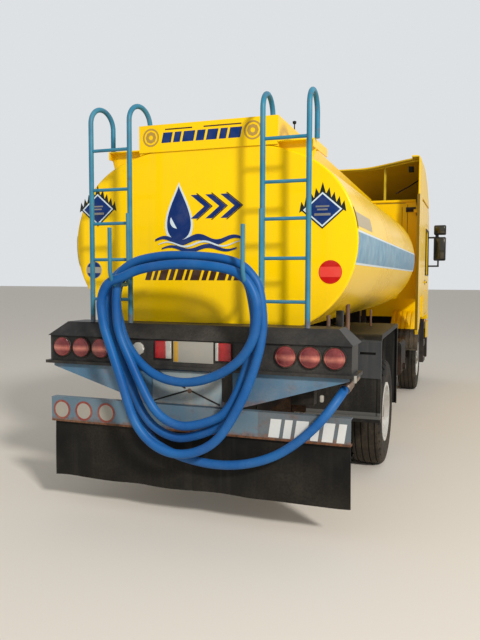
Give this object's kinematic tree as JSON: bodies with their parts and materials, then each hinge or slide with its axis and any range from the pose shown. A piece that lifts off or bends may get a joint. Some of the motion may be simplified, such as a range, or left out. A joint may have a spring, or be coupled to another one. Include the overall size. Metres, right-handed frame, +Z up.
{
  "type": "tanker truck",
  "caption": "Two-axle water tanker truck with a tilting sleeper cab, oval tank, walkway, rear ladders and a coiled hose on hooks.",
  "frame": {"origin": "on the ground under the centre of the truck's bounding box", "axes": "+X to the truck's right, +Y forward, +Z up"},
  "size_m": [3.12, 8.9, 3.792],
  "materials": {
    "chassis_dark": "dusty semi-matt paint",
    "cast_iron": "oily, rough",
    "bar_grey": "faded paint with rust along the lower edge",
    "rubber_black": "dusty rubber sheet",
    "box_black": "faded satin paint",
    "plate_blue_grey": "faded paint with rust streaks",
    "lamp_red": "faded lens",
    "tank_yellow": "gloss paint, slightly dusty",
    "ladder_blue": "brush paint",
    "hose_blue": "smooth soft hose",
    "fitting_steel": "weathered",
    "guard_grey": "dusty sheet",
    "cab_yellow": "gloss paint",
    "glass": "tinted",
    "plastic_black": "grained",
    "lamp_clear": "clear lens",
    "seat_fabric": "woven cloth",
    "tyre_rubber": "dusty rubber",
    "rim_silver": "dusty silver paint"
  },
  "bodies": {
    "root": {"chassis_frame": "chassis_dark", "engine_block": "cast_iron", "front_axle": "cast_iron", "rear_axle": "cast_iron", "drive_shaft": "chassis_dark", "springs": "chassis_dark", "underrun_bar": "bar_grey", "mud_flap": "rubber_black", "light_box": "box_black", "gusset_panel": "plate_blue_grey", "rear_lamps": "lamp_red", "tank": "tank_yellow", "tank_bearers": "chassis_dark", "walkway": "tank_yellow", "ladder_left": "ladder_blue", "ladder_right": "ladder_blue", "hose_hooks": "ladder_blue", "hose_coil": "hose_blue", "hose_tail": "hose_blue", "outlet_pipe": "fitting_steel", "rear_mudguard_left": "guard_grey", "rear_mudguard_right": "guard_grey", "fuel_tank": "chassis_dark", "air_tanks": "chassis_dark", "silencer": "chassis_dark", "front_mudguard_left": "cab_yellow", "front_mudguard_right": "cab_yellow", "bumper": "cab_yellow", "tow_socket": "cast_iron", "headlamps": "lamp_clear", "steps_left": "plastic_black", "steps_right": "plastic_black"},
    "manhole_lid": {"manhole_lid": "tank_yellow"},
    "cab": {"cab_shell": "cab_yellow", "windscreen": "glass", "roof_deflector": "cab_yellow", "side_fin_left": "cab_yellow", "side_fin_right": "cab_yellow", "dashboard": "plastic_black", "seats": "seat_fabric", "bunk": "seat_fabric"},
    "service_panel": {"service_panel": "cab_yellow"},
    "door_left": {"door_left": "cab_yellow", "door_glass_left": "glass", "mirror_left": "plastic_black"},
    "door_right": {"door_right": "cab_yellow", "door_glass_right": "glass", "mirror_right": "plastic_black"},
    "knuckle_left": {"knuckle_left": "cast_iron"},
    "knuckle_right": {"knuckle_right": "cast_iron"},
    "wheel_front_left": {"tyre_front_left": "tyre_rubber", "rim_front_left": "rim_silver"},
    "wheel_front_right": {"tyre_front_right": "tyre_rubber", "rim_front_right": "rim_silver"},
    "wheels_rear_left": {"tyres_rear_left": "tyre_rubber", "rims_rear_left": "rim_silver"},
    "wheels_rear_right": {"tyres_rear_right": "tyre_rubber", "rims_rear_right": "rim_silver"}
  },
  "joints": [
    {"name": "lid_hinge", "type": "hinge", "parent": "root", "child": "manhole_lid", "pos_m": [0, -0.94, 3.125], "axis": [-1, 0, 0], "range_deg": [0, 110]},
    {"name": "cab_tilt", "type": "hinge", "parent": "root", "child": "cab", "pos_m": [0, 4.1, 0.7], "axis": [-1, 0, 0], "range_deg": [0, 60]},
    {"name": "service_panel_hinge", "type": "hinge", "parent": "cab", "child": "service_panel", "pos_m": [0, 4.396, 1.872], "axis": [1, 0, 0], "range_deg": [0, 95]},
    {"name": "door_left_hinge", "type": "hinge", "parent": "cab", "child": "door_left", "pos_m": [-1.247, 4.198, 2], "axis": [0, 0, -1], "range_deg": [0, 75]},
    {"name": "door_right_hinge", "type": "hinge", "parent": "cab", "child": "door_right", "pos_m": [1.247, 4.198, 2], "axis": [0, 0, 1], "range_deg": [0, 75]},
    {"name": "steer_left", "type": "hinge", "parent": "root", "child": "knuckle_left", "pos_m": [-0.88, 3.03, 0.535], "axis": [0, 0, 1], "range_deg": [-40, 40]},
    {"name": "steer_right", "type": "hinge", "parent": "root", "child": "knuckle_right", "pos_m": [0.88, 3.03, 0.535], "axis": [0, 0, 1], "range_deg": [-40, 40]},
    {"name": "wheel_front_left_spin", "type": "hinge", "parent": "knuckle_left", "child": "wheel_front_left", "pos_m": [-1.02, 3.03, 0.54], "axis": [1, 0, 0], "continuous": true},
    {"name": "wheel_front_right_spin", "type": "hinge", "parent": "knuckle_right", "child": "wheel_front_right", "pos_m": [1.02, 3.03, 0.54], "axis": [1, 0, 0], "continuous": true},
    {"name": "wheels_rear_left_spin", "type": "hinge", "parent": "root", "child": "wheels_rear_left", "pos_m": [-0.9, -1.8, 0.54], "axis": [1, 0, 0], "continuous": true},
    {"name": "wheels_rear_right_spin", "type": "hinge", "parent": "root", "child": "wheels_rear_right", "pos_m": [0.9, -1.8, 0.54], "axis": [1, 0, 0], "continuous": true}
  ],
  "couplings": [
    {"joint": "steer_right", "follows": "steer_left", "ratio": 1}
  ]
}
